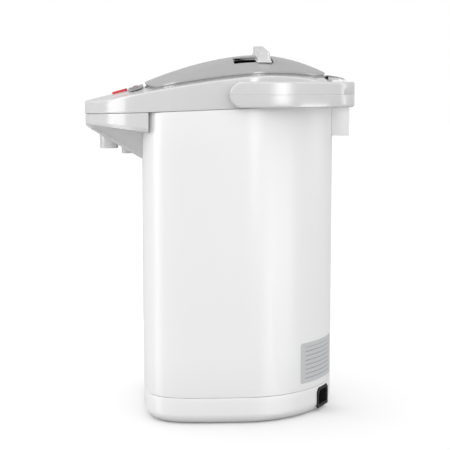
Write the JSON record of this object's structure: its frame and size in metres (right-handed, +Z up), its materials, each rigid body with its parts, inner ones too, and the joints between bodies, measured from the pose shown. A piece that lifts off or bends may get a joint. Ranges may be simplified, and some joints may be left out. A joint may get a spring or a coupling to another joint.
{
  "type": "electric thermo pot",
  "caption": "Electric thermo pot with a D-shaped body, domed hinged lid, spout beak with push buttons, folding carry handle and rear power inlet.",
  "frame": {"origin": "on the axis of the body, on the surface that the feet stand on", "axes": "+Z up, -Y toward the spout, +Y toward the lid hinge, +X toward the side with the power inlet"},
  "size_m": [0.226, 0.2875, 0.3902],
  "materials": {
    "white_gloss": "smooth glossy moulded plastic",
    "grey_gloss": "smooth glossy moulded plastic",
    "inner_white": "satin moulded plastic",
    "black_plastic": "satin",
    "panel_dark": "glossy",
    "grey_button": "smooth moulded plastic",
    "red_plastic": "glossy",
    "lens_red": "clear tinted",
    "gauge_clear": "clear",
    "plate_grey": "satin foil",
    "stainless": "brushed",
    "board_green": "solder mask",
    "heater": "mica and metal band",
    "silicone": "soft",
    "foot_rubber": "soft",
    "motor_metal": "satin"
  },
  "bodies": {
    "root": {"outer_casing": "white_gloss", "base_cover": "white_gloss", "bottom_plate": "grey_gloss", "rubber_feet": "foot_rubber", "base_screws": "stainless", "gauge_window": "gauge_clear", "rating_plate": "plate_grey", "power_inlet": "black_plastic", "inlet_pins": "stainless", "relay_board": "board_green", "collar": "grey_gloss", "inner_deck": "grey_gloss", "beak_lower": "grey_gloss", "control_panel": "panel_dark", "indicator_lenses": "lens_red", "control_board": "board_green", "tact_switches": "black_plastic", "nozzle": "grey_gloss", "drip_guide": "grey_gloss", "spout_elbow": "silicone", "riser_pipe": "gauge_clear", "pump_housing": "inner_white", "pump_motor": "motor_metal", "inlet_hose": "silicone", "inner_pot": "stainless", "pot_seal": "silicone", "band_heater": "heater", "base_heater": "heater", "thermostat": "black_plastic", "pot_support": "inner_white", "hinge_block": "white_gloss", "hinge_pin": "stainless", "handle_pivots": "stainless"},
    "lid": {"lid_outer": "grey_gloss", "lid_inner": "inner_white", "lid_gasket": "silicone", "steam_cap": "grey_gloss"},
    "latch": {"latch_bar": "grey_gloss", "latch_plate": "black_plastic"},
    "release": {"release_lever": "panel_dark"},
    "handle": {"handle": "grey_gloss"},
    "dispense": {"dispense_button": "red_plastic"},
    "reboil": {"reboil_button": "grey_button"},
    "unlock": {"unlock_button": "grey_button"},
    "impeller": {"impeller": "inner_white"}
  },
  "joints": [
    {"name": "lid_hinge", "type": "hinge", "parent": "root", "child": "lid", "pos_m": [0, 0.107, 0.3505], "axis": [-1, 0, 0], "range_deg": [0, 80]},
    {"name": "latch_slide", "type": "slide", "parent": "lid", "child": "latch", "axis": [0, -1, 0], "range_m": [0, 0.02]},
    {"name": "release_press", "type": "slide", "parent": "lid", "child": "release", "axis": [0, 0, -1], "range_m": [0, 0.0008], "stiffness_N_per_m": 800, "springref_m": -0.0004},
    {"name": "handle_hinge", "type": "hinge", "parent": "root", "child": "handle", "pos_m": [0, -0.004, 0.3384], "axis": [1, 0, 0], "range_deg": [0, 90]},
    {"name": "dispense_press", "type": "slide", "parent": "root", "child": "dispense", "axis": [0, 0.2689, -0.9632], "range_m": [0, 0.0012], "stiffness_N_per_m": 600, "springref_m": -0.0006},
    {"name": "reboil_press", "type": "slide", "parent": "root", "child": "reboil", "axis": [0, 0.2689, -0.9632], "range_m": [0, 0.0012], "stiffness_N_per_m": 600, "springref_m": -0.0006},
    {"name": "unlock_press", "type": "slide", "parent": "root", "child": "unlock", "axis": [0, 0.2689, -0.9632], "range_m": [0, 0.0012], "stiffness_N_per_m": 600, "springref_m": -0.0006},
    {"name": "impeller_spin", "type": "hinge", "parent": "root", "child": "impeller", "pos_m": [0, -0.062, 0.0166], "axis": [0, 0, 1], "continuous": true}
  ]
}
